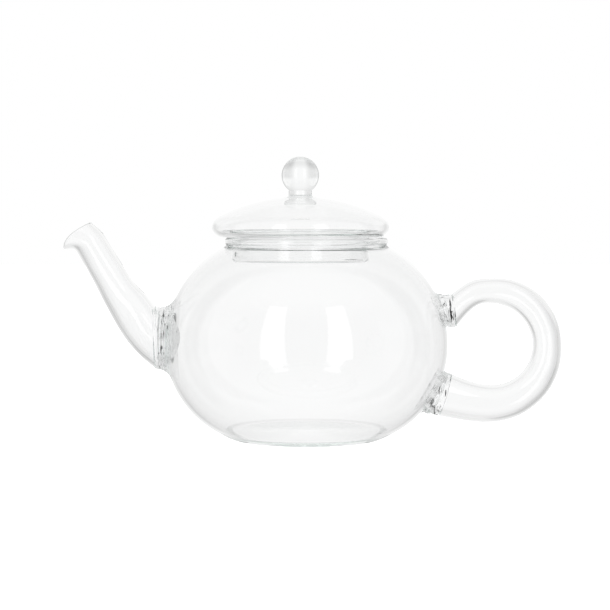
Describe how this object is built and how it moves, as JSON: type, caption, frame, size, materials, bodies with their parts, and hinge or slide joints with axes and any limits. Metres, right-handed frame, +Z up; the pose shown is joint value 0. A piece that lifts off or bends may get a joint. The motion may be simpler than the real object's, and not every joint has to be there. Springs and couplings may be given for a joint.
{
  "type": "glass teapot",
  "caption": "Round clear glass teapot with a curved spout, glass strainer, ring handle and a hollow lift-off lid with a ball knob",
  "frame": {"origin": "centre of the flat base, on the surface that the pot stands on and on the bowl's axis", "axes": "+Z up along the bowl's axis, -X towards the spout, +X towards the handle, Y across"},
  "size_m": [0.2233, 0.127, 0.1264],
  "materials": {
    "clear_glass": "clear, fire polished",
    "weld_glass": "clear, rippled where two pieces were fused",
    "lid_glass": "clear, fire polished"
  },
  "bodies": {
    "pot": {"bowl": "clear_glass", "strainer": "clear_glass", "spout": "clear_glass", "spout_weld": "weld_glass", "handle": "clear_glass", "handle_upper_weld": "weld_glass", "handle_lower_weld": "weld_glass"},
    "lid": {"lid_dome": "lid_glass", "lid_plug": "lid_glass", "lid_knob_stem": "lid_glass", "lid_knob": "lid_glass"}
  },
  "joints": [
    {"name": "lid_lift", "type": "slide", "parent": "pot", "child": "lid", "axis": [0, 0, 1], "range_m": [0, 0.06]}
  ]
}
